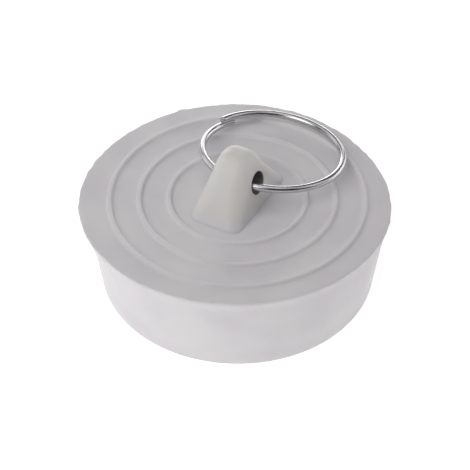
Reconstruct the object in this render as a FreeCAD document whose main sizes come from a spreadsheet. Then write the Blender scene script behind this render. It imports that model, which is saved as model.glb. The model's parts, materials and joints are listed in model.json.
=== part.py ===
import FreeCAD, Part
import math
import os

import Sketcher

# Rubber drain stopper with a wire pull ring, in millimetres.
# The origin is the centre of the plug's foot, +Z is up and X runs along the hole through the lug.
# The ring is drawn lying back on the +Y side of the lug.

# Driving dimensions

SIZES = [
    # plug
    ("plug_top_diameter", 45.0),
    ("plug_base_diameter", 41.4),
    ("plug_height", 14.0),
    ("rim_lip_height", 1.0),
    ("rim_lip_overhang", 0.3),
    ("rim_edge_radius", 0.35),
    ("foot_edge_radius", 0.8),
    ("foot_width", 3.5),
    ("recess_depth", 8.5),
    ("recess_draft_inset", 0.8),
    ("recess_corner_radius", 2.0),
    # raised beads on the top face
    ("bead_first_radius", 10.1),
    ("bead_pitch", 4.35),
    ("bead_width", 1.25),
    ("bead_height", 0.4),
    # drafted lug
    ("lug_thickness", 8.4),
    ("lug_width", 14.8),
    ("lug_corner_radius", 2.0),
    ("lug_height", 8.6),
    ("lug_top_thickness", 4.9),
    ("lug_top_width", 3.2),
    ("lug_top_corner_radius", 1.55),
    ("lug_crown_radius", 1.5),
    ("lug_foot_radius", 0.25),
    # cross hole
    ("hole_diameter", 3.4),
    ("hole_centre_rise", 4.1),
    ("hole_mouth_radius", 0.12),
    # pull ring
    ("wire_diameter", 1.1),
    ("ring_mean_diameter", 21.16),
    ("ring_lap_length", 2.85),
    ("ring_lap_gap", 0.1),
    ("ring_lap_inset", 0.35),
    ("ring_seat_drop", 0.09),
    ("ring_seat_back", 1.0),
    ("ring_rest_clearance", 0.33),
]

BEAD_COUNT = 3
FULL_TURN = 360.0
# The upper end of the wire stands this far round from the lug, seen from above.
RING_END_ANGLE = 263.0
RING_ARC_MOST = 90.0
# The loose ring lies turned a little in its hole, clockwise seen from above.
RING_SLEW_ANGLE = 5.0
# Edges are found to within this share of the wire's diameter.
SLACK_SHARE = 0.01


def make_sheet(doc):
    """Spreadsheet with one aliased row for each driving dimension."""
    sheet = doc.addObject("Spreadsheet::Sheet", "sizes")
    for row, (alias, value) in enumerate(SIZES, start=1):
        sheet.set(f"A{row}", alias.replace("_", " "))
        sheet.set(f"B{row}", str(value))
        sheet.setAlias(f"B{row}", alias)
    doc.recompute()
    return sheet


# Sketch helpers

def origin_plane(body, role):
    return next(item for item in body.Origin.OriginFeatures if item.Role == role)


def new_sketch(body, name, role, height=None):
    """Sketch on one of the body's own origin planes, lifted by an expression where one is given."""
    sketch = body.newObject("Sketcher::SketchObject", name)
    sketch.AttachmentSupport = [(origin_plane(body, role), "")]
    sketch.MapMode = "FlatFace"
    if height:
        sketch.setExpression("AttachmentOffset.Base.z", height)
    return sketch


def value_of(sheet, expression):
    """Number that a sum of sheet cells comes to, used to draw a sketch near its final size."""
    doc = sheet.Document
    probe = doc.addObject("App::FeaturePython", "probe")
    probe.addProperty("App::PropertyFloat", "Result")
    probe.setExpression("Result", expression)
    doc.recompute()
    result = probe.Result
    doc.removeObject(probe.Name)
    return result


def bind(sketch, kind, places, expression, sheet):
    """Adds a dimension to a sketch and ties it to the sheet."""
    index = sketch.addConstraint(Sketcher.Constraint(kind, *places, value_of(sheet, expression)))
    sketch.setExpression(f"Constraints[{index}]", expression)


# Sketcher's own numbers for a sketch's origin and axes
ORIGIN_INDICES = (-1, 1)
ACROSS_AXIS_INDEX = -1
UPRIGHT_AXIS_INDEX = -2


def bind_point(sketch, sheet, point, across, up):
    """Holds a sketch point at two expressions from the sketch's origin, where "0" is on the axis."""
    if across == "0":
        sketch.addConstraint(Sketcher.Constraint("PointOnObject", *point, UPRIGHT_AXIS_INDEX))
    else:
        bind(sketch, "DistanceX", (*ORIGIN_INDICES, *point), across, sheet)
    if up == "0":
        sketch.addConstraint(Sketcher.Constraint("PointOnObject", *point, ACROSS_AXIS_INDEX))
    else:
        bind(sketch, "DistanceY", (*ORIGIN_INDICES, *point), up, sheet)


def closed_outline(sketch, sheet, corners):
    """Closed run of straight lines through corners that are given as expressions."""
    places = [FreeCAD.Vector(value_of(sheet, a), value_of(sheet, u), 0) for a, u in corners]
    count = len(places)
    lines = []
    for k in range(count):
        lines.append(sketch.addGeometry(Part.LineSegment(places[k], places[(k + 1) % count])))
    for k in range(count):
        sketch.addConstraint(Sketcher.Constraint("Coincident", lines[k - 1], 2, lines[k], 1))
        bind_point(sketch, sheet, (lines[k], 1), *corners[k])


def circle_at(sheet, across, up, radius):
    hub = FreeCAD.Vector(value_of(sheet, across), value_of(sheet, up), 0)
    return Part.Circle(hub, FreeCAD.Vector(0, 0, 1), value_of(sheet, radius))


def add_circle(sketch, sheet, across, up, radius):
    """Circle whose hub and radius are given as expressions."""
    circle = sketch.addGeometry(circle_at(sheet, across, up, radius))
    bind_point(sketch, sheet, (circle, 3), across, up)
    bind(sketch, "Radius", (circle,), radius, sheet)


def rounded_outline(sketch, sheet, width, length, radius):
    """Rectangle with round corners about the sketch's origin."""
    quarter = math.pi / 2
    corners = [(1, 1), (-1, 1), (-1, -1), (1, -1)]
    hubs = [(f"{s} * ({width} / 2 - {radius})", f"{e} * ({length} / 2 - {radius})") for s, e in corners]
    arcs = []
    for k, hub in enumerate(hubs):
        circle = circle_at(sheet, *hub, radius)
        arcs.append(sketch.addGeometry(Part.ArcOfCircle(circle, k * quarter, (k + 1) * quarter)))
    for k, arc in enumerate(arcs):
        following = arcs[(k + 1) % len(arcs)]
        line = sketch.addGeometry(Part.LineSegment(sketch.getPoint(arc, 2), sketch.getPoint(following, 1)))
        sketch.addConstraint(Sketcher.Constraint("Tangent", arc, 2, line, 1))
        sketch.addConstraint(Sketcher.Constraint("Tangent", line, 2, following, 1))
        bind_point(sketch, sheet, (arc, 3), *hubs[k])
    bind(sketch, "Radius", (arcs[0],), radius, sheet)


# Edge picking

def edges_where(shape, wanted):
    return [f"Edge{k}" for k, edge in enumerate(shape.Edges, start=1) if wanted(edge)]


def level(edge, height, slack):
    return abs(edge.BoundBox.ZMin - height) < slack and abs(edge.BoundBox.ZMax - height) < slack


def round_edges(doc, body, base, name, edges, radius):
    """Fillet on named edges of the feature before it."""
    fillet = body.newObject("PartDesign::Fillet", name)
    fillet.Base = (base, edges)
    fillet.setExpression("Radius", radius)
    doc.recompute()
    return fillet


# Rubber plug

def shell_feature(doc, body, sheet):
    """Tapered plug with its rim lip and the hollow under it, revolved about the upright axis."""
    top_radius = "sizes.plug_top_diameter / 2"
    base_radius = "sizes.plug_base_diameter / 2"
    lip_foot = "sizes.plug_height - sizes.rim_lip_height"
    recess_mouth = f"{base_radius} - sizes.foot_width"
    corners = [
        ("0", "sizes.recess_depth"),
        (f"{recess_mouth} - sizes.recess_draft_inset", "sizes.recess_depth"),
        (recess_mouth, "0"),
        (base_radius, "0"),
        (f"{top_radius} - sizes.rim_lip_overhang", f"{lip_foot} - sizes.rim_lip_overhang"),
        (top_radius, lip_foot),
        (top_radius, "sizes.plug_height"),
        ("0", "sizes.plug_height"),
    ]
    sketch = new_sketch(body, "plug_profile", "XZ_Plane")
    closed_outline(sketch, sheet, corners)
    doc.recompute()
    shell = body.newObject("PartDesign::Revolution", "plug_shell")
    shell.Profile = sketch
    shell.ReferenceAxis = (sketch, ["V_Axis"])
    doc.recompute()
    return shell


def bead_feature(doc, body, sheet):
    """Three concentric beads: rounds half sunk in the top face, so that a low crown stands proud."""
    sag = "sizes.bead_height"
    radius = f"(sizes.bead_width * sizes.bead_width / 4 + {sag} * {sag}) / (2 * {sag})"
    sketch = new_sketch(body, "bead_profile", "XZ_Plane")
    for k in range(BEAD_COUNT):
        across = f"sizes.bead_first_radius + {k} * sizes.bead_pitch"
        up = f"sizes.plug_height + {sag} - {radius}"
        add_circle(sketch, sheet, across, up, radius)
    doc.recompute()
    beads = body.newObject("PartDesign::Revolution", "beads")
    beads.Profile = sketch
    beads.ReferenceAxis = (sketch, ["V_Axis"])
    doc.recompute()
    return beads


def lug_feature(doc, body, sheet):
    """Lug that draws in from a broad foot to a small top, lofted between two rounded rectangles."""
    foot = new_sketch(body, "lug_foot", "XY_Plane", "sizes.plug_height")
    rounded_outline(foot, sheet, "sizes.lug_thickness", "sizes.lug_width", "sizes.lug_corner_radius")
    top = new_sketch(body, "lug_top", "XY_Plane", "sizes.plug_height + sizes.lug_height")
    top_sizes = ("sizes.lug_top_thickness", "sizes.lug_top_width", "sizes.lug_top_corner_radius")
    rounded_outline(top, sheet, *top_sizes)
    doc.recompute()
    lug = body.newObject("PartDesign::AdditiveLoft", "lug")
    lug.Profile = foot
    lug.Sections = [top]
    lug.Ruled = True
    doc.recompute()
    return lug


def hole_feature(doc, body, sheet):
    """Round cross hole for the ring, cut both ways from the mid plane."""
    sketch = new_sketch(body, "hole_profile", "YZ_Plane")
    add_circle(sketch, sheet, "0", "sizes.plug_height + sizes.hole_centre_rise", "sizes.hole_diameter / 2")
    doc.recompute()
    hole = body.newObject("PartDesign::Pocket", "ring_hole")
    hole.Profile = sketch
    hole.Type = "Length"
    hole.Midplane = True
    hole.setExpression("Length", "2 * sizes.lug_thickness")
    doc.recompute()
    return hole


def build_plug(doc, sheet):
    body = doc.addObject("PartDesign::Body", "rubber_plug")
    body.Label = "rubber_plug"
    shell = shell_feature(doc, body, sheet)
    slack = SLACK_SHARE * sheet.wire_diameter
    top_radius = sheet.plug_top_diameter / 2

    def wide_at(edge, height, radius):
        return level(edge, height, slack) and abs(edge.BoundBox.XMax - radius) < slack

    recess_radius = sheet.plug_base_diameter / 2 - sheet.foot_width - sheet.recess_draft_inset
    edges = edges_where(shell.Shape, lambda e: wide_at(e, sheet.recess_depth, recess_radius))
    rounded = round_edges(doc, body, shell, "recess_corner", edges, "sizes.recess_corner_radius")
    edges = edges_where(rounded.Shape, lambda e: wide_at(e, 0, sheet.plug_base_diameter / 2))
    rounded = round_edges(doc, body, rounded, "foot_edge", edges, "sizes.foot_edge_radius")
    edges = edges_where(rounded.Shape, lambda e: wide_at(e, sheet.plug_height, top_radius))
    round_edges(doc, body, rounded, "rim_edge", edges, "sizes.rim_edge_radius")

    bead_feature(doc, body, sheet)
    lug = lug_feature(doc, body, sheet)
    lug_reach = sheet.lug_width / 2 + slack
    lug_top = sheet.plug_height + sheet.lug_height
    edges = edges_where(lug.Shape, lambda e: level(e, lug_top, slack))
    crowned = round_edges(doc, body, lug, "lug_crown", edges, "sizes.lug_crown_radius")

    def at_lug_foot(edge):
        box = edge.BoundBox
        return level(edge, sheet.plug_height, slack) and box.YMax < lug_reach and box.YMin > -lug_reach

    edges = edges_where(crowned.Shape, at_lug_foot)
    footed = round_edges(doc, body, crowned, "lug_foot_blend", edges, "sizes.lug_foot_radius")
    hole = hole_feature(doc, body, sheet)
    if hole.Shape.Volume > footed.Shape.Volume - slack:
        raise RuntimeError("the cross hole cut nothing")
    half_hole = sheet.hole_diameter / 2 + slack
    hole_low = sheet.plug_height + sheet.hole_centre_rise - sheet.hole_diameter / 2 - slack

    def at_hole_mouth(edge):
        box = edge.BoundBox
        return box.YMax < half_hole and box.YMin > -half_hole and box.ZMin > hole_low \
            and box.ZMax < lug_top - sheet.lug_crown_radius and box.XMin * box.XMax > 0

    edges = edges_where(hole.Shape, at_hole_mouth)
    round_edges(doc, body, hole, "hole_mouths", edges, "sizes.hole_mouth_radius")
    return body


# Pull ring

def arc_from(start, heading, end):
    """Arc that leaves the start along a unit heading and passes through the end."""
    chord = end - start
    along = FreeCAD.Vector(chord).normalize()
    aside = heading - along * heading.dot(along)
    bulge = math.tan(heading.getAngle(chord) / 2) * chord.Length / 2
    return Part.Arc(start, start + chord / 2 + aside.normalize() * bulge, end)


def biarc(start, heading, end, end_heading):
    """Two arcs that leave the start and reach the end along unit headings, and meet smoothly."""
    chord = end - start
    swing = chord.dot(heading + end_heading)
    bend = 2 * (1 - heading.dot(end_heading))
    reach = (math.sqrt(swing ** 2 + bend * chord.dot(chord)) - swing) / bend
    middle = (start + end + (heading - end_heading) * reach) / 2
    second = arc_from(end, end_heading * -1, middle)
    return [arc_from(start, heading, middle), Part.Arc(middle, second.value(second.LastParameter / 2), end)]


def build_ring(doc, sheet):
    """One lapped turn of round wire, swept along biarcs that sink and widen a little in a turn."""
    radius = sheet.ring_mean_diameter / 2
    wire_radius = sheet.wire_diameter / 2
    drop = sheet.wire_diameter + sheet.ring_lap_gap

    turn_angle = math.radians(FULL_TURN)

    def reach(turn):
        """Distance of the wire from the ring's centre, which grows a little towards its lower end."""
        return radius - sheet.ring_lap_inset * turn / FULL_TURN

    def place(turn):
        """Point of the wire's centre line, counted round from where it lies in the lug."""
        angle = math.radians(turn)
        along = radius - reach(turn) * math.cos(angle)
        return FreeCAD.Vector(reach(turn) * math.sin(angle), along, drop * turn / FULL_TURN)

    def heading(turn):
        """Way that the wire runs there, from its upper end to its lower one."""
        angle = math.radians(turn)
        grow = sheet.ring_lap_inset / turn_angle
        across = reach(turn) * math.cos(angle) - grow * math.sin(angle)
        along = reach(turn) * math.sin(angle) + grow * math.cos(angle)
        return FreeCAD.Vector(-across, -along, -drop / turn_angle).normalize()

    lap = math.degrees(sheet.ring_lap_length / radius)
    count = math.ceil((FULL_TURN + lap) / RING_ARC_MOST)
    stops = [RING_END_ANGLE - (FULL_TURN + lap) * k / count for k in range(count + 1)]
    arcs = []
    for begin, end in zip(stops, stops[1:]):
        arcs += biarc(place(begin), heading(begin), place(end), heading(end))
    spine = Part.Wire([arc.toShape() for arc in arcs])
    section = Part.Wire(Part.Circle(place(stops[0]), heading(stops[0]), wire_radius).toShape())
    solid = spine.makePipeShell([section], True, False)

    expected = math.pi * wire_radius ** 2 * spine.Length
    print(f"ring: length {spine.Length:.2f}, volume {solid.Volume:.3f} against {expected:.3f}")
    turns = [RING_END_ANGLE - lap * k / count for k in range(count + 1)]
    apart = min((place(a) - place(b - FULL_TURN)).Length for a in turns for b in turns)
    print(f"ring: least gap between the lapped ends {apart - sheet.wire_diameter:.3f}")

    # The ring leans back until the far side of the wire all but rests on the top face.
    seat_rise = sheet.hole_centre_rise - sheet.ring_seat_drop
    fall = seat_rise - wire_radius - sheet.ring_rest_clearance
    span = math.hypot(2 * radius, drop / 2)
    lean = math.asin(fall / span) + math.atan2(drop / 2, 2 * radius)
    seat = FreeCAD.Vector(0, -sheet.ring_seat_back, sheet.plug_height + seat_rise)
    print(f"ring: seat {seat.y:.3f}, {seat.z:.3f}, lean {math.degrees(lean):.2f}")

    ring = doc.addObject("Part::Feature", "pull_ring")
    ring.Label = "pull_ring"
    ring.Shape = solid
    tilt = FreeCAD.Rotation(FreeCAD.Vector(1, 0, 0), -math.degrees(lean))
    slew = FreeCAD.Rotation(FreeCAD.Vector(0, 0, 1), -RING_SLEW_ANGLE)
    ring.Placement = FreeCAD.Placement(seat, slew * tilt)
    return ring


# Document

def check(doc, pieces):
    """Stops on any failed object, and on a piece that is empty, open or in more than one solid."""
    for item in doc.Objects:
        if "Invalid" in item.State or "Error" in item.State:
            raise RuntimeError(f"{item.Name} failed: {item.State}")
    for piece in pieces:
        shape = piece.Shape
        if shape.isNull() or not shape.isValid() or len(shape.Solids) != 1:
            raise RuntimeError(f"{piece.Label} is not one sound solid")
        box = shape.BoundBox
        print(f"{piece.Label}: volume {shape.Volume:.1f}, box {box}")


def main():
    doc = FreeCAD.newDocument("drain_stopper")
    sheet = make_sheet(doc)
    pieces = [build_plug(doc, sheet), build_ring(doc, sheet)]
    doc.recompute()
    check(doc, pieces)
    os.makedirs("parts", exist_ok=True)
    for piece in pieces:
        piece.Shape.exportStep(os.path.join("parts", piece.Label + ".step"))


main()
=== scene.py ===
import json
import math

import bmesh
import bpy
from mathutils import Matrix, Vector, noise


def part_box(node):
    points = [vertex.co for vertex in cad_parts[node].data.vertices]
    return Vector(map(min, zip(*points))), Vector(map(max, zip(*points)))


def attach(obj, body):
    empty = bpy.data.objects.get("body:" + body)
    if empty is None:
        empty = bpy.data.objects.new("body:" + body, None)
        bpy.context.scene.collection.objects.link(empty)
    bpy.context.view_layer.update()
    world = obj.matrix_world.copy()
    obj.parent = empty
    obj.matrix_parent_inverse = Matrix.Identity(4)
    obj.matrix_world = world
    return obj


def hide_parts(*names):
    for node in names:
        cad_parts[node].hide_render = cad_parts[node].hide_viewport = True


# Rubber drain stopper with a wire pull ring, in metres, in the frame of the packed model.
# The origin is the centre of the plug's foot, +Z is up and X runs along the hole through the lug.

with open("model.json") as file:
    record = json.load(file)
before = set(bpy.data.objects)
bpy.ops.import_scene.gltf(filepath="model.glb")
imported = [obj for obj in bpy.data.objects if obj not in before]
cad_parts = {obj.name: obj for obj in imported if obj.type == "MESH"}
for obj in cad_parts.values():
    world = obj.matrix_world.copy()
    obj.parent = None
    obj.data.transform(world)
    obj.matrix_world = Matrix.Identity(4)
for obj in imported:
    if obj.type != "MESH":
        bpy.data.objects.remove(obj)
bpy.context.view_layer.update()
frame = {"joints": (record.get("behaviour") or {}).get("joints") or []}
PLUG_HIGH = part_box("rubber_plug")[1]
RING_HINGE = Vector(frame["joints"][0]["pos_m"])
MM = 0.001

bl_info = {
    "name": "Drain stopper",
    "version": (1, 0, 0),
    "blender": (4, 5, 0),
    "location": "View3D > Sidebar > Stopper",
    "description": "Builds a moulded rubber drain stopper, its wire pull ring and a plain stage",
    "category": "Object",
}


def length(name, millimetres, description):
    """Length property with its default given in millimetres."""
    return bpy.props.FloatProperty(
        name=name, description=description, default=millimetres * MM, unit="LENGTH", precision=5)


def angle(name, degrees, description):
    """Angle property with its default given in degrees."""
    return bpy.props.FloatProperty(
        name=name, description=description, default=math.radians(degrees), subtype="ANGLE")


def tint(name, colour, description):
    """Colour property in linear light."""
    return bpy.props.FloatVectorProperty(
        name=name, description=description, default=colour, size=3, subtype="COLOR", min=0.0, max=1.0)


def fraction(name, value, description):
    """Property between none and all, such as a roughness."""
    return bpy.props.FloatProperty(
        name=name, description=description, default=value, subtype="FACTOR", min=0.0, max=1.0)


def number(name, value, description, unit="NONE"):
    """Plain number, such as a count or a strength."""
    return bpy.props.FloatProperty(name=name, description=description, default=value, unit=unit)


# Sizes and finishes

class PlugSizes(bpy.types.PropertyGroup):
    """Sizes of the rubber moulding."""
    face_height: length("Face height", 14.0, "Height of the flat top face")
    foot_diameter: length("Foot diameter", 41.4, "Diameter at the foot of the tapered wall")
    lip_height: length("Lip height", 0.45, "Height of the rim lip")
    lip_overhang: length("Lip overhang", 0.3, "How far the rim lip stands out from the wall")
    rim_round: length("Rim round", 0.2, "Radius of the rim's top edge")
    flare_foot: length("Flare foot", 6.0, "Height at which the wall starts to follow the rim's uneven edge")
    foot_round: length("Foot round", 0.8, "Radius of the foot's outer edge")
    foot_width: length("Foot width", 3.5, "Width of the ring that the plug stands on")
    hollow_depth: length("Hollow depth", 8.5, "Depth of the hollow underside")
    hollow_draft: length("Hollow draft", 0.8, "How far the hollow draws in towards its roof")
    hollow_round: length("Hollow round", 2.0, "Radius between the hollow's wall and its roof")
    bead_radius: length("First bead", 10.1, "Radius of the innermost bead")
    bead_pitch: length("Bead pitch", 4.35, "Step from one bead to the next")
    bead_width: length("Bead width", 1.25, "Width of a bead at its root")
    bead_top: length("Bead top", 0.3, "Width of a bead's flat top")
    bead_height: length("Bead height", 0.4, "Height of a bead's crest above the face")
    crease: angle("Crease", 38.0, "Edges sharper than this stay crisp")


class LugSizes(bpy.types.PropertyGroup):
    """Sizes of the lug and of the hole through it."""
    thickness: length("Thickness", 8.2, "Thickness at the foot, along the hole")
    width: length("Width", 15.2, "Width at the foot, across the hole")
    corner: length("Corner", 1.6, "Corner radius at the foot")
    corner_swell: length("Corner swell", 1.0, "How much rounder the corners are at half height")
    top_thickness: length("Top thickness", 4.9, "Thickness at the top")
    top_width: length("Top width", 3.2, "Width at the top")
    top_corner: length("Top corner", 1.55, "Corner radius at the top")
    crown_round: length("Crown round", 2.3, "Radius round the top edge")
    foot_round: length("Foot round", 0.1, "Radius of the blend into the top face")
    hole_diameter: length("Hole diameter", 3.4, "Diameter of the cross hole")
    hole_rise: length("Hole rise", 4.1, "Height of the hole's centre above the face")
    mouth_round: length("Mouth round", 0.12, "Radius of the hole's mouths")


class RingSizes(bpy.types.PropertyGroup):
    """Sizes and rest position of the wire ring."""
    wire_diameter: length("Wire diameter", 1.1, "Diameter of the wire")
    mean_diameter: length("Mean diameter", 21.16, "Diameter at the middle of the wire, by the lug")
    lap_length: length("Lap", 2.85, "How far the two ends pass each other")
    lap_gap: length("Lap gap", 0.1, "Gap between the lapped ends")
    lap_inset: length("Lap inset", 0.35, "How far the upper end stands inside the lower one")
    end_bevel: length("End bevel", 0.09, "Bevel round the cut ends")
    seat_back: length("Seat back", 1.0, "Distance of the wire behind the hinge axis")
    seat_drop: length("Seat drop", 0.09, "Distance of the wire below the hinge axis")
    end_angle: angle("End angle", 263.0, "Place of the upper end, counted round from the lug")
    lean: angle("Lean", 10.13, "How far the ring lies back")
    slew: angle("Slew", 5.0, "How far the ring lies turned in its hole")


class RubberFinish(bpy.types.PropertyGroup):
    """Finish of the moulded rubber."""
    colour: tint("Colour", (0.694, 0.668, 0.70), "Clean moulded rubber")
    bloom: tint("Bloom", (0.75, 0.735, 0.74), "Pale bloom in broad patches")
    # Painted highlight: a paler tint on the beads' crests, standing in for light catching them
    crest: tint("Crest", (0.747, 0.726, 0.745), "Paler rubber on the beads' worn crests")
    # Painted light: the whole lug lighter and warmer, standing in for the warm light on its lit face
    lit_lug: tint("Lit_lug_tint", (0.735, 0.715, 0.69), "Warmer rubber on the lug, where hands hold it")
    # Painted shade: dark tint in the hole, where light doesn't reach, and in the crease round the lug's
    # foot
    painted_shade: tint("Shade_tint", (0.2, 0.197, 0.185), "Dirt inside the hole and round the lug's foot")
    roughness: fraction("Roughness", 0.52, "Roughness of the moulded skin")
    gloss: fraction("Gloss", 0.4, "Strength of the skin's reflections")
    glow: fraction("Glow", 0.1, "Share of light that scatters inside the rubber")
    glow_depth: length("Glow depth", 0.6, "How deep the light goes into the rubber")
    bloom_fineness: number("Bloom fineness", 120.0, "Patches of bloom in a metre")
    grain_fineness: number("Grain fineness", 2600.0, "Grains of the skin in a metre")
    grain_depth: length("Grain depth", 0.08, "Depth of the skin's grain")
    grain_strength: fraction("Grain strength", 0.08, "How much of the grain's depth shows")


class WireFinish(bpy.types.PropertyGroup):
    """Finish of the bright wire."""
    colour: tint("Colour", (0.63, 0.62, 0.635), "Bright drawn wire")
    stain: tint("Stain", (0.42, 0.41, 0.42), "Duller drawing marks along the wire")
    roughness: fraction("Roughness", 0.2, "Roughness of the polished wire")
    dulling: number("Dulling", 1.6, "How many times rougher the drawing marks are")
    marks_along: number("Marks along", 150.0, "Drawing marks in a metre of wire")
    marks_round: number("Marks round", 12.0, "Drawing marks round the wire")


class StageSetup(bpy.types.PropertyGroup):
    """Camera and light of the stage."""
    distance: length("Camera distance", 220.0, "From the centre of the foot to the camera")
    azimuth: angle("Azimuth", 29.0, "Camera's place round the plug, to the right of the front")
    elevation: angle("Elevation", 43.92, "Camera's height above the floor")
    pan: angle("Pan", -0.104, "Turn of the view to the right of the foot's centre")
    tilt: angle("Tilt", 1.222, "Turn of the view above the foot's centre")
    lens: number("Lens", 109.53, "Focal length", "CAMERA")
    sensor: number("Sensor", 36.0, "Width of the camera's sensor", "CAMERA")
    clip_start: length("Clip start", 10.0, "Nearest distance that the camera sees")
    floor: tint("Floor", (0.95, 0.95, 0.95), "Pale floor")
    floor_roughness: fraction("Floor roughness", 0.9, "Roughness of the floor")
    floor_glow: number("Floor glow", 0.528, "Light that the floor gives by itself")
    sky: number("Sky", 0.0, "Even light from all round")


# Flash, and trimmed stretches below zero: angle from X and half width in degrees, reach in millimetres
FLASH = (
    (213, 42, 0.9),
    (150, 12, 0.1),
    (142, 2.2, 0.35),
    (62, 26, -0.45),
    (12, 20, 0.2),
    (312, 45, -0.38),
)
# Powers by which the flash fades over the land towards the beads, and down the wall
LAND_FADE = 2
WALL_FADE = 1.5
# Torn edge of the rim: reach in millimetres, and waves in each radian
RAG_REACH = 0.18
RAG_WAVES = 24

# Floor in metres, and light panels: azimuth and elevation in degrees, distance and size in metres, radiance
FLOOR_SIZE = 8.0
STRIP = (0.4, 0.18)
SQUARE = (0.4, 0.4)
LARGE_SQUARE = (0.6, 0.6)
PANELS = (
    ("left_strip", -81, 11, 0.5, STRIP, 1.07),
    ("back_left_panel", -106, 40, 0.5, SQUARE, 0.81),
    ("back_strip", 209, 11, 0.5, STRIP, 3.27),
    ("back_right_strip", 149, 11, 0.5, STRIP, 1.75),
    ("right_panel", 119, 40, 0.5, SQUARE, 0.78),
    ("front_left_panel", -16, 40, 0.5, SQUARE, 2.12),
    ("top_panel", 29, 88, 0.7, LARGE_SQUARE, 0.93),
)


# Mesh helpers

def filleted(before, corner, after, radius, count):
    """Arc that rounds the corner between two straight runs of a profile."""
    towards = (before - corner).normalized()
    away = (after - corner).normalized()
    half = towards.angle(away) / 2
    reach = radius / math.tan(half)
    centre = corner + (towards + away).normalized() * (radius / math.sin(half))
    first = corner + towards * reach - centre
    last = corner + away * reach - centre
    sweep = first.angle_signed(last)
    points = []
    for k in range(count + 1):
        turned = first.copy()
        turned.rotate(Matrix.Rotation(-sweep * k / count, 2))
        points.append(centre + turned)
    return points


def spread(start, end, count):
    """Points strictly between two ends of a straight run."""
    return [start.lerp(end, k / count) for k in range(1, count)]


def join_rows(bm, rows):
    """Quads between closed rows of vertices."""
    for near, far in zip(rows, rows[1:]):
        for k in range(len(near)):
            n = (k + 1) % len(near)
            bm.faces.new((near[k], near[n], far[n], far[k]))


# Rubber moulding

BEAD_COUNT = 3

# Columns of the mesh round the plug, and steps along the stretches of its profile
AROUND = 320
FLAT_STEPS = 4
CROWN_STEPS = 8
FLANK_STEPS = 30
BLEND_STEPS = 6
SKIRT_STEPS = 4
BEAD_STEPS = 18
RIM_STEPS = 5
WALL_STEPS = 10
FOOT_STEPS = 6
HOLLOW_STEPS = 8

# First rows of the lug's flank and of the blend at its foot
FLANK_ROW = FLAT_STEPS + CROWN_STEPS
BLEND_ROW = FLANK_ROW + FLANK_STEPS

# Patches round the hole's mouths: their rows and columns in the grid, and steps to the hole and through it
PATCH_MARGIN = 4
PATCH_FIRST = FLANK_ROW + PATCH_MARGIN
PATCH_LAST = BLEND_ROW - PATCH_MARGIN
PATCH_COLUMNS = 30
SPOKE_STEPS = 10
MOUTH_STEPS = 7
TUNNEL_STEPS = 12

# Vertex attribute with the share of painted shade, and its value in the crease round the lug's foot
PAINTED_SHADE = "painted_shade"
CREASE_SHADE = 0.13


def rounded_reach(across, along, corner, turn):
    """Distance from the middle of a round-cornered rectangle to its edge, at an angle from X."""
    c, s = abs(math.cos(turn)), abs(math.sin(turn))
    straight_across, straight_along = across - corner, along - corner
    if across * s <= straight_along * c:
        return across / c
    if along * c <= straight_across * s:
        return along / s
    middle = straight_across * c + straight_along * s
    beyond = straight_across ** 2 + straight_along ** 2 - corner ** 2
    return middle + math.sqrt(max(0.0, middle ** 2 - beyond))


def lug_section(plug, lug, height):
    """Half thickness, half width and corner radius of the lug at a height."""
    share = (height - plug.face_height) / (PLUG_HIGH.z - plug.face_height)
    across = lug.thickness + (lug.top_thickness - lug.thickness) * share
    along = lug.width + (lug.top_width - lug.width) * share
    swell = lug.corner_swell * math.sin(math.pi * share)
    corner = lug.corner + (lug.top_corner - lug.corner) * share + swell
    return across / 2, along / 2, corner


def lug_profile(plug, lug, turn):
    """Lug in one upright half plane: top, crown, flank and the blend into the face."""
    def flank(height):
        return Vector((rounded_reach(*lug_section(plug, lug, height), turn), height))

    foot, top = flank(plug.face_height), flank(PLUG_HIGH.z)
    middle = Vector((0, PLUG_HIGH.z))
    skirt = Vector((plug.bead_radius - plug.bead_width, plug.face_height))
    crown = filleted(middle, top, flank(PLUG_HIGH.z - lug.crown_round), lug.crown_round, CROWN_STEPS)
    blend = filleted(flank(plug.face_height + lug.foot_round), foot, skirt, lug.foot_round, BLEND_STEPS)
    points = [middle] + spread(middle, crown[0], FLAT_STEPS) + crown
    points += [flank(point.y) for point in spread(crown[-1], blend[0], FLANK_STEPS)] + blend
    return points + spread(blend[-1], skirt, SKIRT_STEPS)


def bead_profile(plug, radius):
    """One bead that stands on the face, with a flat top and soft flanks."""
    half, flat = plug.bead_width / 2, plug.bead_top / 2
    points = []
    for k in range(BEAD_STEPS + 1):
        aside = half * (2 * k / BEAD_STEPS - 1)
        down = max(0.0, abs(aside) - flat) / (half - flat)
        rise = plug.bead_height * (1 + math.cos(math.pi * down)) / 2
        points.append(Vector((radius + aside, plug.face_height + rise)))
    return points


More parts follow.
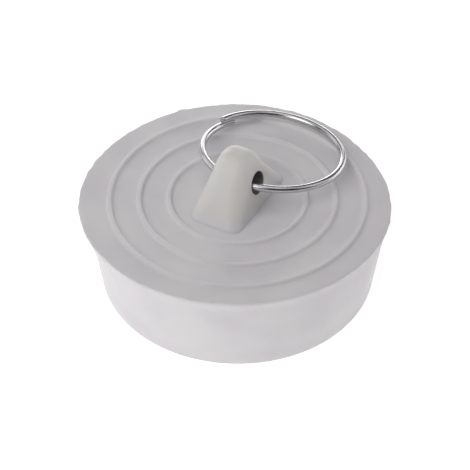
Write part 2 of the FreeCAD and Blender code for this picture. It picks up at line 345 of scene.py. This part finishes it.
def plug_profile(plug):
    """Plug outside the lug, from the first bead over the rim to the middle of the hollow's roof."""
    points = []
    inner = Vector((plug.bead_radius - plug.bead_width, plug.face_height))
    for k in range(BEAD_COUNT):
        bead = bead_profile(plug, plug.bead_radius + k * plug.bead_pitch)
        points += [inner] + spread(inner, bead[0], FLAT_STEPS) + bead
        inner = bead[-1] + Vector((plug.bead_width / 2, 0))
    rim = Vector((PLUG_HIGH.x, plug.face_height))
    lip_foot = rim - Vector((0, plug.lip_height))
    neck = lip_foot - Vector((plug.lip_overhang, plug.lip_overhang))
    foot = Vector((plug.foot_diameter / 2, 0))
    mouth = foot - Vector((plug.foot_width, 0))
    roof = Vector((mouth.x - plug.hollow_draft, plug.hollow_depth))
    middle = Vector((0, plug.hollow_depth))
    edge = filleted(inner, rim, lip_foot, plug.rim_round, RIM_STEPS)
    sole = filleted(neck, foot, mouth, plug.foot_round, FOOT_STEPS)
    corner = filleted(mouth, roof, middle, plug.hollow_round, HOLLOW_STEPS)
    points += [inner] + spread(inner, edge[0], FLAT_STEPS) + edge
    points += spread(edge[-1], lip_foot, FLAT_STEPS) + [lip_foot, neck]
    points += spread(neck, sole[0], WALL_STEPS) + sole
    points += spread(sole[-1], mouth, FLAT_STEPS) + [mouth]
    points += spread(mouth, corner[0], WALL_STEPS) + corner
    return points + spread(corner[-1], middle, WALL_STEPS) + [middle]


def flash_reach(turn):
    """How far the flash stands out, or the rim is trimmed back, at an angle from X."""
    reach = 0.0
    for place, half_width, depth in FLASH:
        away = (math.degrees(turn) - place + 180) % 360 - 180
        reach += depth * MM * math.exp(-(away / half_width) ** 2)
    return reach


def rag_reach(turn):
    """Small torn waves of the rim's edge at an angle from X."""
    return RAG_REACH * MM * noise.noise(Vector((math.cos(turn), math.sin(turn), 0)) * RAG_WAVES)


def moulded(plug, point, turn):
    """Point of the profile, moved with the rim's uneven edge, which the land and the upper wall follow."""
    radius, height = point
    land = plug.bead_radius + (BEAD_COUNT - 1) * plug.bead_pitch + plug.bead_width
    outward = max(0.0, (radius - land) / (PLUG_HIGH.x - land))
    upward = max(0.0, (height - plug.flare_foot) / (plug.face_height - plug.flare_foot))
    moved = radius + min(outward ** LAND_FADE, upward ** WALL_FADE) * flash_reach(turn)
    if radius > PLUG_HIGH.x - plug.rim_round and height > plug.face_height - plug.lip_height:
        moved += rag_reach(turn)
    return Vector((moved * math.cos(turn), moved * math.sin(turn), height))


def in_patch(row, column):
    """Whether a quad of the grid lies where the hole's patches go."""
    step = column % (AROUND // 2)
    beside = step < PATCH_COLUMNS or step >= AROUND // 2 - PATCH_COLUMNS
    return PATCH_FIRST <= row < PATCH_LAST and beside


def patch_edge(grid, side):
    """Vertices of the grid round the hole's patch on one side of the lug."""
    columns = range(-PATCH_COLUMNS, PATCH_COLUMNS)
    rows = range(PATCH_FIRST, PATCH_LAST)
    loop = [(PATCH_FIRST, c) for c in columns]
    loop += [(r, PATCH_COLUMNS) for r in rows]
    loop += [(PATCH_LAST, -c) for c in columns]
    loop += [(PATCH_FIRST + PATCH_LAST - r, -PATCH_COLUMNS) for r in rows]
    return [grid[r][c % AROUND if side > 0 else (AROUND // 2 - c) % AROUND] for r, c in loop]


def flank_x(plug, lug, y, z):
    """Half thickness of the lug at a point of its flank."""
    across, along, corner = lug_section(plug, lug, z)
    past = max(0.0, abs(y) - (along - corner))
    return across - corner + math.sqrt(corner ** 2 - past ** 2)


def mouth_step(lug, centre, start, k):
    """Place on the flank, and depth below it, of one step from the patch's edge into the hole's mouth."""
    out = (start - centre).normalized()
    hole = lug.hole_diameter / 2
    if k <= SPOKE_STEPS:
        return start.lerp(centre + out * (hole + lug.mouth_round), k / SPOKE_STEPS), 0.0
    bend = math.pi / 2 * (k - SPOKE_STEPS) / MOUTH_STEPS
    place = centre + out * (hole + lug.mouth_round * (1 - math.sin(bend)))
    return place, lug.mouth_round * (1 - math.cos(bend))


def bore(bm, plug, lug, grid):
    """Hole through the lug: a patch on both flanks with round mouths, and the tunnel between them."""
    centre = Vector((0, plug.face_height + lug.hole_rise))
    shade = bm.verts.layers.float[PAINTED_SHADE]
    ends = []
    for side in (1, -1):
        rows = [patch_edge(grid, side)]
        for k in range(1, SPOKE_STEPS + MOUTH_STEPS + 1):
            row = []
            for vertex in rows[0]:
                place, sink = mouth_step(lug, centre, vertex.co.yz, k)
                made = bm.verts.new((side * (flank_x(plug, lug, *place) - sink), *place))
                # Painted shade, growing from none to full down the hole's mouth
                made[shade] = max(0, k - SPOKE_STEPS) / MOUTH_STEPS
                row.append(made)
            rows.append(row)
        join_rows(bm, rows)
        ends.append(rows[-1])
    rows = [ends[0]]
    for k in range(1, TUNNEL_STEPS):
        rows.append([bm.verts.new(a.co.lerp(b.co, k / TUNNEL_STEPS)) for a, b in zip(*ends)])
        # Painted shade all through the tunnel
        for vertex in rows[-1]:
            vertex[shade] = 1
    join_rows(bm, rows + [ends[1]])


def build_plug(plug, lug):
    """Closed mesh of the moulding, as rings of vertices from the lug's top to the hollow's roof."""
    outside = plug_profile(plug)
    turns = [2 * math.pi * c / AROUND for c in range(AROUND)]
    profiles = [lug_profile(plug, lug, turn) + outside for turn in turns]
    bm = bmesh.new()
    shade = bm.verts.layers.float.new(PAINTED_SHADE)
    rows = len(profiles[0])
    grid = {}
    for r in range(1, rows - 1):
        grid[r] = [bm.verts.new(moulded(plug, p[r], turn)) for p, turn in zip(profiles, turns)]
        # Painted shade along the crease round the lug's foot
        in_crease = BLEND_ROW <= r <= BLEND_ROW + BLEND_STEPS
        for vertex in grid[r]:
            vertex[shade] = CREASE_SHADE if in_crease else 0.0
    for r in range(1, rows - 2):
        for c in range(AROUND):
            n = (c + 1) % AROUND
            if not in_patch(r, c):
                bm.faces.new((grid[r][c], grid[r + 1][c], grid[r + 1][n], grid[r][n]))
    for r, end in ((1, 0), (rows - 2, -1)):
        pole = bm.verts.new((0, 0, profiles[0][end].y))
        for c in range(AROUND):
            bm.faces.new((pole, grid[r][c], grid[r][(c + 1) % AROUND]))
    bore(bm, plug, lug, grid)
    loose = [v for v in bm.verts if not v.link_faces]
    bmesh.ops.delete(bm, geom=loose, context="VERTS")
    bmesh.ops.recalc_face_normals(bm, faces=bm.faces)
    return bm


# Materials

# Step of the node editor's grid, on which nodes are placed by column and row
NODE_STEP = 220

# Colour sockets of a Mix node, which share their names with its other sockets
MIX_A = 6
MIX_B = 7
MIX_RESULT = 2

# Detail of the noise patterns, and the stretches of their values over which a finish changes
BLOOM_DETAIL = 3.0
BLOOM_FROM, BLOOM_TO = 0.35, 0.65
GRAIN_DETAIL = 2.0
MARK_DETAIL = 3.0
STAIN_FROM, STAIN_TO = 0.45, 0.8
DULL_FROM, DULL_TO = 0.3, 0.7

# Heights above the face, in heights of a bead, where the painted highlight on the crests starts and the
# lug's painted lighter tone is full
CREST_START = 0.3
LIT_LUG_RISE = 5.0

# Attributes of the wire's mesh that its drawing marks follow
ALONG_WIRE = "along_wire"
ROUND_WIRE = "round_wire"


def node(tree, kind, column, row, values=None, **settings):
    """New node at a column and row, with the values of its inputs by name and its own settings."""
    made = tree.nodes.new(kind)
    made.location = (column * NODE_STEP, row * NODE_STEP)
    for name, value in settings.items():
        setattr(made, name, value)
    for name, value in (values or {}).items():
        made.inputs[name].default_value = value
    return made


def colour_mix(tree, column, row):
    """New Mix node for colours."""
    return node(tree, "ShaderNodeMix", column, row, data_type="RGBA")


def new_material(name):
    """Material, its node tree and its shader."""
    material = bpy.data.materials.new(name)
    material.use_nodes = True
    tree = material.node_tree
    return material, tree, tree.nodes["Principled BSDF"]


def bloomed_rubber(tree, place, finish):
    """Colour of the rubber with a pale bloom in broad patches."""
    link = tree.links.new
    cloud = node(tree, "ShaderNodeTexNoise", -5, 1,
                 {"Scale": finish.bloom_fineness, "Detail": BLOOM_DETAIL})
    level = node(tree, "ShaderNodeMapRange", -4, 1, {"From Min": BLOOM_FROM, "From Max": BLOOM_TO})
    skin = colour_mix(tree, -3, 1)
    skin.inputs[MIX_A].default_value = (*finish.colour, 1)
    skin.inputs[MIX_B].default_value = (*finish.bloom, 1)
    link(place, cloud.inputs["Vector"])
    link(cloud.outputs["Fac"], level.inputs["Value"])
    link(level.outputs["Result"], skin.inputs["Factor"])
    return skin.outputs[MIX_RESULT]


def painted_light_rubber(tree, place, skin, finish, plug):
    """Colour of the rubber with a painted highlight on the beads' crests and the lug painted lighter and
    warmer, as its lit face looks, picked out by their height.
    """
    link = tree.links.new
    axes = node(tree, "ShaderNodeSeparateXYZ", -5, 3)
    lit_lug_height = plug.face_height + LIT_LUG_RISE * plug.bead_height
    rise = node(tree, "ShaderNodeMapRange", -4, 3,
                {"From Min": plug.face_height, "From Max": lit_lug_height})
    raised = node(tree, "ShaderNodeValToRGB", -3, 3)
    # Ramp by height: painted highlight on the crests, then the lug painted lighter and warmer
    stops = raised.color_ramp.elements
    stops[0].position = CREST_START / LIT_LUG_RISE
    stops[0].color = (*finish.crest, 0)
    stops[1].position = 1
    stops[1].color = (*finish.lit_lug, 1)
    crest = stops.new(1 / LIT_LUG_RISE)
    crest.color = (*finish.crest, 1)
    painted_light = colour_mix(tree, -2, 2)
    link(place, axes.inputs["Vector"])
    link(axes.outputs["Z"], rise.inputs["Value"])
    link(rise.outputs["Result"], raised.inputs["Fac"])
    link(raised.outputs["Alpha"], painted_light.inputs["Factor"])
    link(skin, painted_light.inputs[MIX_A])
    link(raised.outputs["Color"], painted_light.inputs[MIX_B])
    return painted_light.outputs[MIX_RESULT]


def shaded_rubber(tree, skin, finish):
    """Colour of the rubber with painted shade in the hole and round the lug's foot."""
    link = tree.links.new
    shade_share = node(tree, "ShaderNodeAttribute", -2, 4, attribute_name=PAINTED_SHADE)
    shaded = colour_mix(tree, -1, 2)
    shaded.inputs[MIX_B].default_value = (*finish.painted_shade, 1)
    link(shade_share.outputs["Fac"], shaded.inputs["Factor"])
    link(skin, shaded.inputs[MIX_A])
    return shaded.outputs[MIX_RESULT]


def rubber_grain(tree, place, finish):
    """Normals of the fine moulded grain."""
    link = tree.links.new
    grain = node(tree, "ShaderNodeTexNoise", -5, -2,
                 {"Scale": finish.grain_fineness, "Detail": GRAIN_DETAIL})
    bump = node(tree, "ShaderNodeBump", -1, -2,
                {"Strength": finish.grain_strength, "Distance": finish.grain_depth})
    link(place, grain.inputs["Vector"])
    link(grain.outputs["Fac"], bump.inputs["Height"])
    return bump.outputs["Normal"]


def rubber_material(finish, plug):
    """Pale moulded rubber with a faint bloom, a painted highlight on the bead crests, the lug painted
    lighter and warmer as if lit, painted shade in the hole and round the lug's foot, and a fine grain.
    """
    material, tree, shader = new_material("moulded_rubber")
    shader.inputs["Roughness"].default_value = finish.roughness
    shader.inputs["Specular IOR Level"].default_value = finish.gloss
    shader.inputs["Subsurface Weight"].default_value = finish.glow
    shader.inputs["Subsurface Scale"].default_value = finish.glow_depth
    place = node(tree, "ShaderNodeTexCoord", -6, 0).outputs["Object"]
    skin = bloomed_rubber(tree, place, finish)
    skin = painted_light_rubber(tree, place, skin, finish, plug)
    skin = shaded_rubber(tree, skin, finish)
    tree.links.new(skin, shader.inputs["Base Color"])
    tree.links.new(rubber_grain(tree, place, finish), shader.inputs["Normal"])
    return material


def wire_material(finish):
    """Bright drawn wire with faint marks along it."""
    material, tree, shader = new_material("bright_wire")
    shader.inputs["Metallic"].default_value = 1.0
    link = tree.links.new
    along = node(tree, "ShaderNodeAttribute", -6, 1, attribute_name=ALONG_WIRE)
    around = node(tree, "ShaderNodeAttribute", -6, 0, attribute_name=ROUND_WIRE)
    run = node(tree, "ShaderNodeCombineXYZ", -5, 0)
    stretch = node(tree, "ShaderNodeMapping", -4, 0,
                   {"Scale": (finish.marks_along, finish.marks_round, 1.0)})
    marks = node(tree, "ShaderNodeTexNoise", -3, 0, {"Scale": 1.0, "Detail": MARK_DETAIL})
    share = node(tree, "ShaderNodeMapRange", -2, 1, {"From Min": STAIN_FROM, "From Max": STAIN_TO})
    skin = colour_mix(tree, -1, 1)
    skin.inputs[MIX_A].default_value = (*finish.colour, 1)
    skin.inputs[MIX_B].default_value = (*finish.stain, 1)
    level = node(tree, "ShaderNodeMapRange", -1, -1,
                 {"From Min": DULL_FROM, "From Max": DULL_TO,
                  "To Min": finish.roughness, "To Max": finish.roughness * finish.dulling})
    link(along.outputs["Fac"], run.inputs["X"])
    link(around.outputs["Fac"], run.inputs["Y"])
    link(run.outputs["Vector"], stretch.inputs["Vector"])
    link(stretch.outputs["Vector"], marks.inputs["Vector"])
    link(marks.outputs["Fac"], share.inputs["Value"])
    link(share.outputs["Result"], skin.inputs["Factor"])
    link(skin.outputs[MIX_RESULT], shader.inputs["Base Color"])
    link(marks.outputs["Fac"], level.inputs["Value"])
    link(level.outputs["Result"], shader.inputs["Roughness"])
    return material


def floor_material(stage):
    """Pale floor that glows a little, as a lit sheet does."""
    material, _, shader = new_material("pale_floor")
    shader.inputs["Base Color"].default_value = (*stage.floor, 1)
    shader.inputs["Roughness"].default_value = stage.floor_roughness
    shader.inputs["Specular IOR Level"].default_value = 0.0
    shader.inputs["Emission Color"].default_value = (1, 1, 1, 1)
    shader.inputs["Emission Strength"].default_value = stage.floor_glow
    return material


# Wire ring

WIRE_SIDES = 24
WIRE_STEPS_PER_TURN = 512

# Inputs of the ring's tree
RING_NUMBERS = ("Turns", "Start Radius", "End Radius", "Rise", "Wire Radius", "End Share")
RING_VECTORS = ("Start Turn", "Loop Centre", "Lie", "Seat")


def ring_tree(material):
    """Geometry Nodes tree: a wire that follows one lapped turn and is then laid in its place."""
    tree = bpy.data.node_groups.new("lapped_wire_ring", "GeometryNodeTree")
    for name in RING_NUMBERS:
        tree.interface.new_socket(name, in_out="INPUT", socket_type="NodeSocketFloat")
    for name in RING_VECTORS:
        tree.interface.new_socket(name, in_out="INPUT", socket_type="NodeSocketVector")
    tree.interface.new_socket("Geometry", in_out="OUTPUT", socket_type="NodeSocketGeometry")
    link = tree.links.new
    given = node(tree, "NodeGroupInput", 0, 0).outputs
    turn = node(tree, "GeometryNodeCurveSpiral", 1, 1,
                {"Resolution": WIRE_STEPS_PER_TURN, "Reverse": True})
    run = node(tree, "GeometryNodeSplineParameter", 1, 0)
    along = node(tree, "GeometryNodeStoreNamedAttribute", 2, 1, {"Name": ALONG_WIRE})
    circle = node(tree, "GeometryNodeCurvePrimitiveCircle", 1, -1, {"Resolution": WIRE_SIDES})
    around = node(tree, "GeometryNodeStoreNamedAttribute", 2, -1, {"Name": ROUND_WIRE})
    tips = node(tree, "GeometryNodeCurveEndpointSelection", 2, -2)
    scale = node(tree, "GeometryNodeSwitch", 3, -2, {"False": 1.0}, input_type="FLOAT")
    wire = node(tree, "GeometryNodeCurveToMesh", 4, 0, {"Fill Caps": True})
    turned = node(tree, "GeometryNodeTransform", 5, 0)
    laid = node(tree, "GeometryNodeTransform", 6, 0)
    smooth = node(tree, "GeometryNodeSetShadeSmooth", 7, 0)
    whole = node(tree, "GeometryNodeRealizeInstances", 8, 0)
    finish = node(tree, "GeometryNodeSetMaterial", 9, 0, {"Material": material})
    result = node(tree, "NodeGroupOutput", 10, 0)
    link(given["Turns"], turn.inputs["Rotations"])
    link(given["Start Radius"], turn.inputs["Start Radius"])
    link(given["End Radius"], turn.inputs["End Radius"])
    link(given["Rise"], turn.inputs["Height"])
    link(turn.outputs["Curve"], along.inputs["Geometry"])
    link(run.outputs["Length"], along.inputs["Value"])
    link(given["Wire Radius"], circle.inputs["Radius"])
    link(circle.outputs["Curve"], around.inputs["Geometry"])
    link(run.outputs["Factor"], around.inputs["Value"])
    link(tips.outputs["Selection"], scale.inputs["Switch"])
    link(given["End Share"], scale.inputs["True"])
    link(along.outputs["Geometry"], wire.inputs["Curve"])
    link(around.outputs["Geometry"], wire.inputs["Profile Curve"])
    link(scale.outputs["Output"], wire.inputs["Scale"])
    link(wire.outputs["Mesh"], turned.inputs["Geometry"])
    link(given["Start Turn"], turned.inputs["Rotation"])
    link(given["Loop Centre"], turned.inputs["Translation"])
    link(turned.outputs["Geometry"], laid.inputs["Geometry"])
    link(given["Lie"], laid.inputs["Rotation"])
    link(given["Seat"], laid.inputs["Translation"])
    link(laid.outputs["Geometry"], smooth.inputs["Geometry"])
    link(smooth.outputs["Geometry"], whole.inputs["Geometry"])
    link(whole.outputs["Geometry"], finish.inputs["Geometry"])
    link(finish.outputs["Geometry"], result.inputs["Geometry"])
    return tree


def ring_inputs(ring):
    """Values of the ring tree's inputs, worked out from the ring's sizes."""
    radius = ring.mean_diameter / 2
    lap = ring.lap_length / radius
    first, last = ring.end_angle - 2 * math.pi - lap, ring.end_angle
    rise_each = (ring.wire_diameter + ring.lap_gap) / (2 * math.pi)
    grow_each = ring.lap_inset / (2 * math.pi)
    return {
        "Turns": (last - first) / (2 * math.pi),
        "Start Radius": radius - grow_each * first,
        "End Radius": radius - grow_each * last,
        "Rise": rise_each * (last - first),
        "Wire Radius": ring.wire_diameter / 2,
        "End Share": 1 - 2 * ring.end_bevel / ring.wire_diameter,
        "Start Turn": (0, 0, first - math.pi / 2),
        "Loop Centre": (0, radius, rise_each * first),
        "Lie": (-ring.lean, 0, -ring.slew),
        "Seat": RING_HINGE - Vector((0, ring.seat_back, ring.seat_drop)),
    }


def build_ring(ring, material):
    """Plain mesh of the wire ring, turned from its Geometry Nodes tree."""
    tree = ring_tree(material)
    holder = bpy.data.objects.new("ring_holder", bpy.data.meshes.new("ring_holder"))
    bpy.context.scene.collection.objects.link(holder)
    modifier = holder.modifiers.new("lapped_wire_ring", "NODES")
    modifier.node_group = tree
    values = ring_inputs(ring)
    for item in tree.interface.items_tree:
        if item.in_out == "INPUT":
            modifier[item.identifier] = values[item.name]
    evaluated = holder.evaluated_get(bpy.context.evaluated_depsgraph_get())
    mesh = bpy.data.meshes.new_from_object(evaluated)
    bpy.data.objects.remove(holder)
    mesh.name = "wire_pull_ring"
    return mesh


# Stage

def around_plug(azimuth, elevation, distance):
    """Point at a distance from the foot's centre, with the azimuth counted from the front to the right."""
    flat = distance * math.cos(elevation)
    return Vector((flat * math.sin(azimuth), -flat * math.cos(azimuth), distance * math.sin(elevation)))


def build_floor(stage):
    """Wide flat sheet at the height of the plug's foot."""
    half = FLOOR_SIZE / 2
    corners = [(-half, -half, 0), (half, -half, 0), (half, half, 0), (-half, half, 0)]
    mesh = bpy.data.meshes.new("floor")
    mesh.from_pydata(corners, [], [(0, 1, 2, 3)])
    mesh.materials.append(floor_material(stage))
    return mesh


def add_panel(name, azimuth, elevation, distance, size, radiance):
    """Soft light panel that faces the plug, as bright as its radiance says from every side."""
    lamp = bpy.data.lights.new(name, "AREA")
    lamp.shape = "RECTANGLE"
    lamp.size, lamp.size_y = size
    lamp.energy = radiance * math.pi * lamp.size * lamp.size_y
    panel = bpy.data.objects.new(name, lamp)
    panel.location = around_plug(math.radians(azimuth), math.radians(elevation), distance)
    panel.rotation_euler = (-panel.location).to_track_quat("-Z", "Y").to_euler()
    panel.visible_camera = False
    bpy.context.scene.collection.objects.link(panel)


def add_sky(stage):
    """Even white light from all round."""
    world = bpy.data.worlds.new("studio")
    world.use_nodes = True
    sky = world.node_tree.nodes["Background"]
    sky.inputs["Color"].default_value = (1, 1, 1, 1)
    sky.inputs["Strength"].default_value = stage.sky
    bpy.context.scene.world = world


def add_camera(stage):
    """Camera at the photograph's place, turned a little off the foot's centre."""
    data = bpy.data.cameras.new("camera")
    data.sensor_width = stage.sensor
    data.lens = stage.lens
    data.clip_start = stage.clip_start
    camera = bpy.data.objects.new("camera", data)
    camera.location = around_plug(stage.azimuth, stage.elevation, stage.distance)
    ahead = -camera.location.normalized()
    right = ahead.cross(Vector((0, 0, 1))).normalized()
    view = ahead + math.tan(stage.pan) * right + math.tan(stage.tilt) * right.cross(ahead)
    camera.rotation_euler = view.to_track_quat("-Z", "Y").to_euler()
    bpy.context.scene.collection.objects.link(camera)
    bpy.context.scene.camera = camera


# Operators

class STOPPER_OT_add_plug(bpy.types.Operator):
    """Add the rubber moulding with its beads, lug and hollow underside"""
    bl_idname = "stopper.add_plug"
    bl_label = "Add rubber plug"
    bl_options = {"REGISTER", "UNDO"}

    def execute(self, context):
        scene = context.scene
        bm = build_plug(scene.stopper_plug, scene.stopper_lug)
        if any(not edge.is_manifold for edge in bm.edges):
            raise RuntimeError("the rubber plug's mesh isn't closed")
        mesh = bpy.data.meshes.new("moulded_plug")
        bm.to_mesh(mesh)
        bm.free()
        mesh.shade_smooth()
        mesh.set_sharp_from_angle(angle=scene.stopper_plug.crease)
        mesh.materials.append(rubber_material(scene.stopper_rubber, scene.stopper_plug))
        piece = bpy.data.objects.new("moulded_plug", mesh)
        scene.collection.objects.link(piece)
        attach(piece, "plug")
        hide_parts("rubber_plug")
        return {"FINISHED"}


class STOPPER_OT_add_ring(bpy.types.Operator):
    """Add the wire pull ring, laid back from the lug"""
    bl_idname = "stopper.add_ring"
    bl_label = "Add pull ring"
    bl_options = {"REGISTER", "UNDO"}

    def execute(self, context):
        scene = context.scene
        mesh = build_ring(scene.stopper_ring, wire_material(scene.stopper_wire))
        if not mesh.polygons:
            raise RuntimeError("the pull ring's tree gave no mesh")
        piece = bpy.data.objects.new("wire_pull_ring", mesh)
        scene.collection.objects.link(piece)
        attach(piece, "ring")
        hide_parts("pull_ring")
        return {"FINISHED"}


class STOPPER_OT_add_stage(bpy.types.Operator):
    """Add the floor, the soft lights and the camera"""
    bl_idname = "stopper.add_stage"
    bl_label = "Add stage"
    bl_options = {"REGISTER", "UNDO"}

    def execute(self, context):
        scene = context.scene
        stage = scene.stopper_stage
        floor = bpy.data.objects.new("floor", build_floor(stage))
        scene.collection.objects.link(floor)
        for panel in PANELS:
            add_panel(*panel)
        add_sky(stage)
        add_camera(stage)
        if scene.camera is None:
            raise RuntimeError("the stage has no camera")
        scene.view_settings.view_transform = "Standard"
        return {"FINISHED"}


class STOPPER_PT_sidebar(bpy.types.Panel):
    """Sidebar with the stopper's operators and sizes"""
    bl_idname = "STOPPER_PT_sidebar"
    bl_label = "Drain stopper"
    bl_space_type = "VIEW_3D"
    bl_region_type = "UI"
    bl_category = "Stopper"

    def draw(self, context):
        for operator in OPERATORS:
            self.layout.operator(operator.bl_idname)
        for name, group in GROUPS.items():
            box = self.layout.box()
            box.label(text=group.__doc__)
            for field in group.__annotations__:
                box.prop(getattr(context.scene, name), field)


GROUPS = {
    "stopper_plug": PlugSizes,
    "stopper_lug": LugSizes,
    "stopper_ring": RingSizes,
    "stopper_rubber": RubberFinish,
    "stopper_wire": WireFinish,
    "stopper_stage": StageSetup,
}
OPERATORS = (STOPPER_OT_add_plug, STOPPER_OT_add_ring, STOPPER_OT_add_stage)


def register():
    """Register the sizes, the operators and the sidebar."""
    for name, group in GROUPS.items():
        bpy.utils.register_class(group)
        setattr(bpy.types.Scene, name, bpy.props.PointerProperty(type=group))
    for operator in OPERATORS:
        bpy.utils.register_class(operator)
    bpy.utils.register_class(STOPPER_PT_sidebar)


def unregister():
    """Undo what register does, in the other order."""
    bpy.utils.unregister_class(STOPPER_PT_sidebar)
    for operator in reversed(OPERATORS):
        bpy.utils.unregister_class(operator)
    for name, group in reversed(GROUPS.items()):
        delattr(bpy.types.Scene, name)
        bpy.utils.unregister_class(group)


def main():
    """Build the stopper and its stage."""
    register()
    bpy.ops.stopper.add_plug()
    bpy.ops.stopper.add_ring()
    bpy.ops.stopper.add_stage()


if __name__ == "__main__":
    main()
